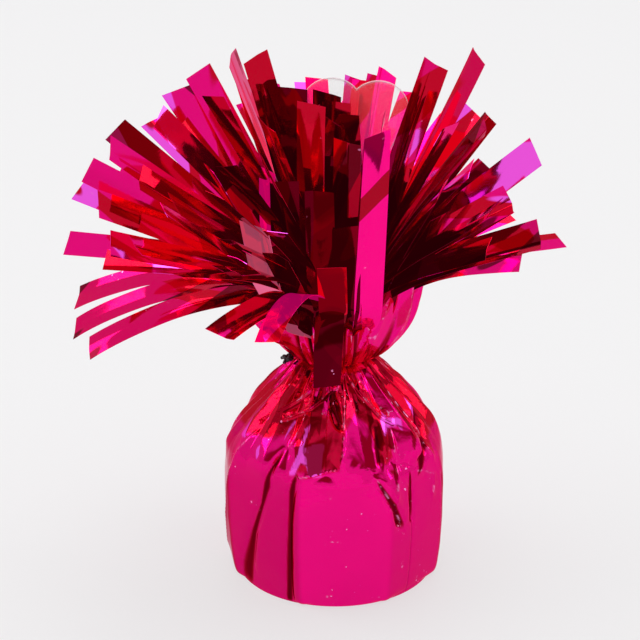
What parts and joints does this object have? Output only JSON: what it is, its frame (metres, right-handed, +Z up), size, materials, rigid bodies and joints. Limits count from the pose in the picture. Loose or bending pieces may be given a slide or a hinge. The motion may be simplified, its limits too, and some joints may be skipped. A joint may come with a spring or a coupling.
{
  "type": "balloon weight",
  "caption": "Foil-wrapped balloon weight: a cast plug in a pleated metallised film bag, tied at the neck, with a fringe of cut strips and a clear two-lobed ribbon tab.",
  "frame": {"origin": "centre of the flat foot, on the surface that the weight stands on", "axes": "+Z up along the neck, -Y towards the picture's camera, +X to the right in the picture"},
  "size_m": [0.1224, 0.1261, 0.1348],
  "materials": {
    "core": "cast cement, matt",
    "film": "metallised film, mirror bright",
    "tie": "black elastic",
    "tab": "clear sheet"
  },
  "bodies": {
    "root": {"weight_core": "core", "foil_bag": "film", "film_gather": "film", "neck_tie": "tie", "tie_knot": "tie", "ribbon_tab": "tab", "fringe_fall_front": "film", "fringe_droop_left": "film", "fringe_droop_back": "film", "fringe_droop_right": "film", "fringe_skirt_left": "film", "fringe_skirt_front": "film", "fringe_skirt_right": "film", "fringe_skirt_back": "film", "fringe_low_back": "film", "fringe_mid_left": "film", "fringe_mid_front": "film", "fringe_mid_right": "film", "fringe_mid_back": "film", "fringe_high_left": "film", "fringe_high_front": "film", "fringe_high_right": "film", "fringe_high_back": "film", "fringe_crown_left": "film", "fringe_crown_front": "film", "fringe_curtain_front": "film", "fringe_crown_right": "film", "fringe_crown_back": "film", "fringe_centre_left": "film", "fringe_centre_front": "film", "fringe_centre_right": "film", "fringe_centre_back": "film"}
  },
  "joints": []
}
